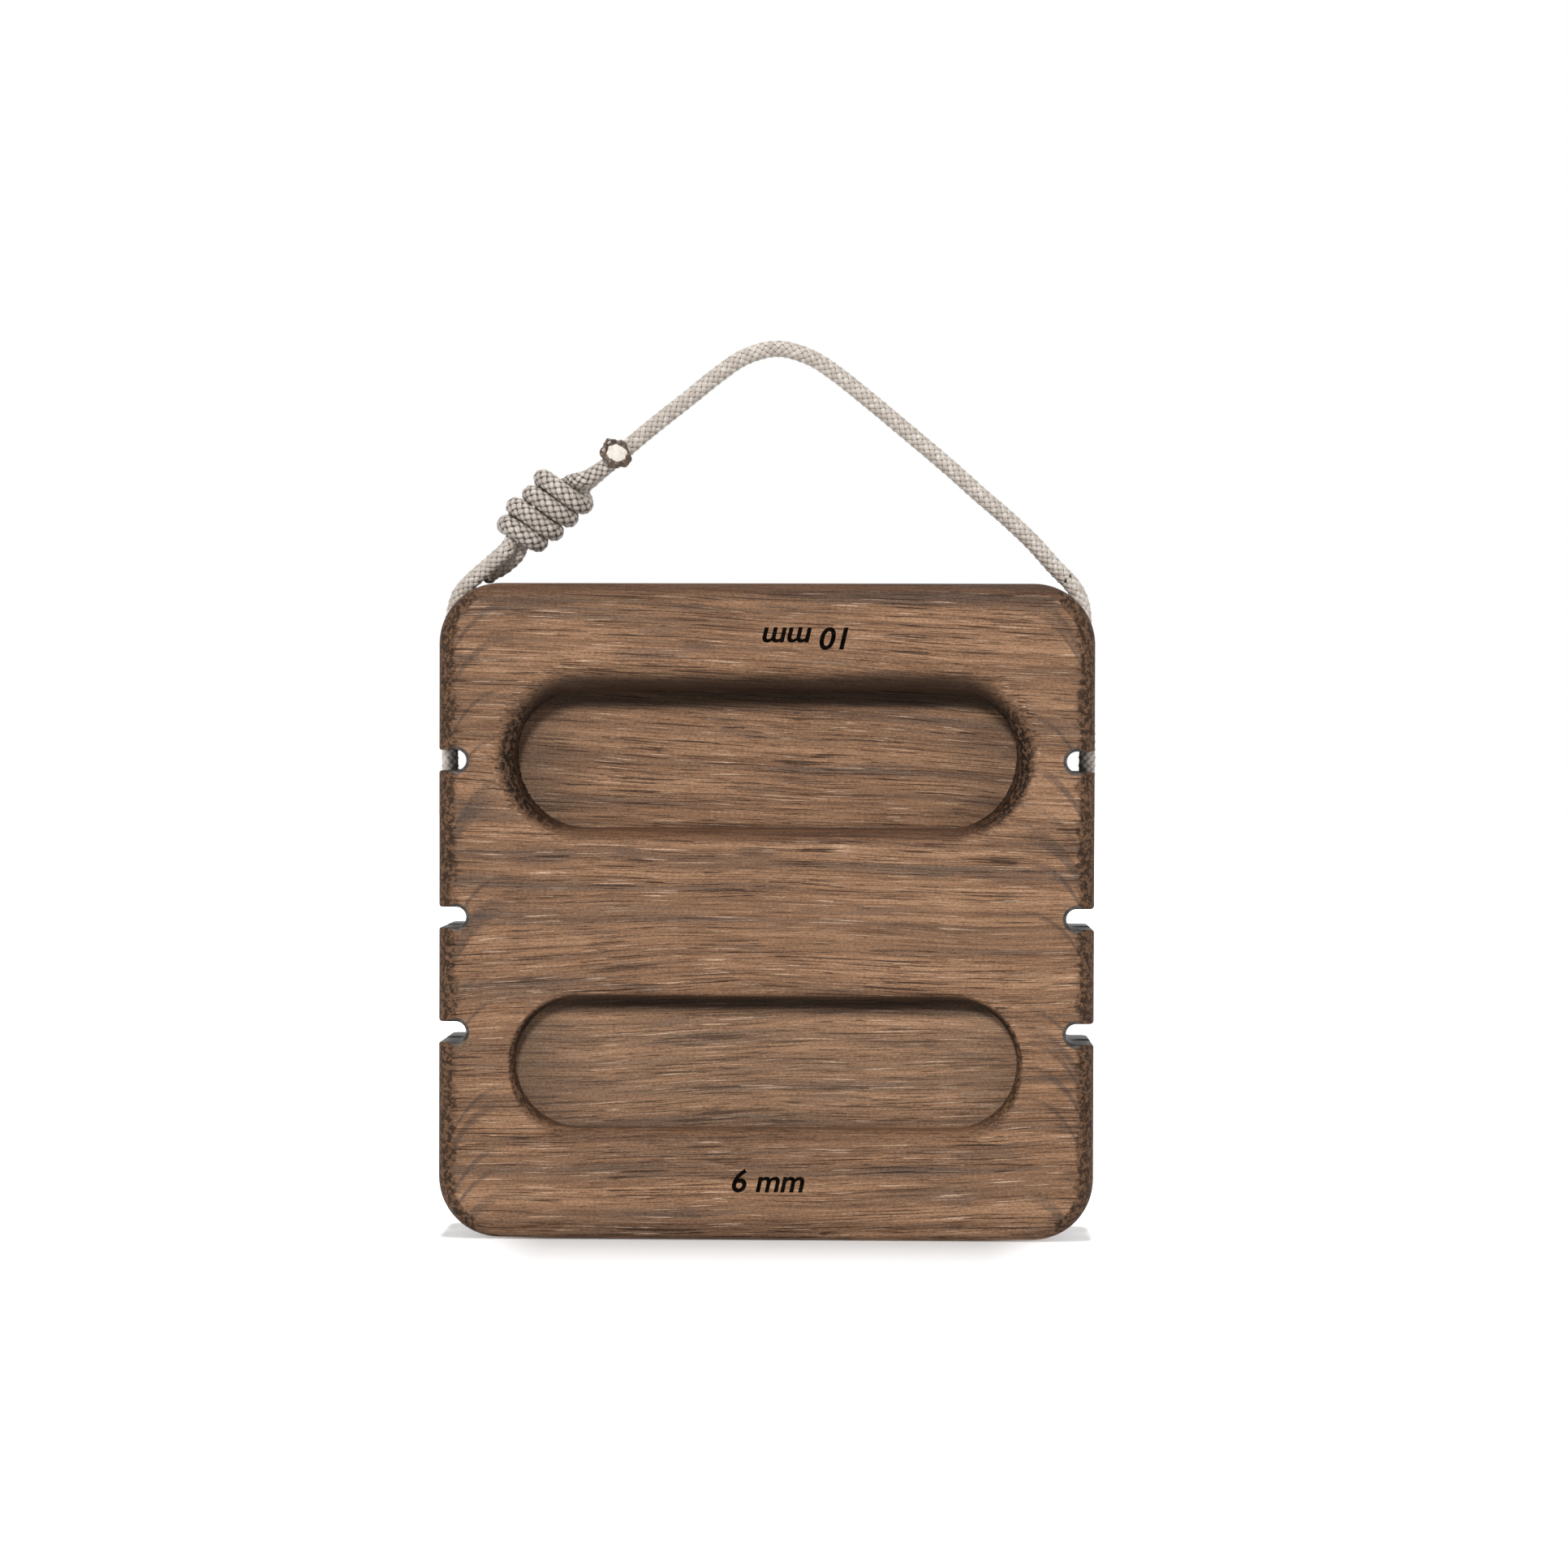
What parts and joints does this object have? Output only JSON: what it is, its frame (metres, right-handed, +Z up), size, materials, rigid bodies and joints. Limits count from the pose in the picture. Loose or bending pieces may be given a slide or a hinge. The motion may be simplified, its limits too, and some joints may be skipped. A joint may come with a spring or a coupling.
{
  "type": "portable hangboard",
  "caption": "Small square wooden finger training board with pockets on both faces, side notches and a knotted cord loop to hang it from.",
  "frame": {"origin": "centre of the board's lower edge face, which it stands on", "axes": "+X across the board to the right seen from the front, +Y from the front face to the back face, +Z up"},
  "size_m": [0.15, 0.03, 0.2065],
  "materials": {
    "wood": "dark heat-treated open-grained hardwood, sanded, unvarnished",
    "cord": "light grey braided polyamide accessory cord with a slight sheen",
    "melted_cord": "melted and scorched cord end, glossy brown rim round a pale core"
  },
  "bodies": {
    "root": {"board": "wood", "cord_held_run": "cord", "cord_loop": "cord", "knot_wraps_upper": "cord", "knot_wraps_lower": "cord", "cord_tail_upper": "cord", "cord_tail_lower": "cord", "melted_end_upper": "melted_cord", "melted_end_lower": "melted_cord"}
  },
  "joints": []
}
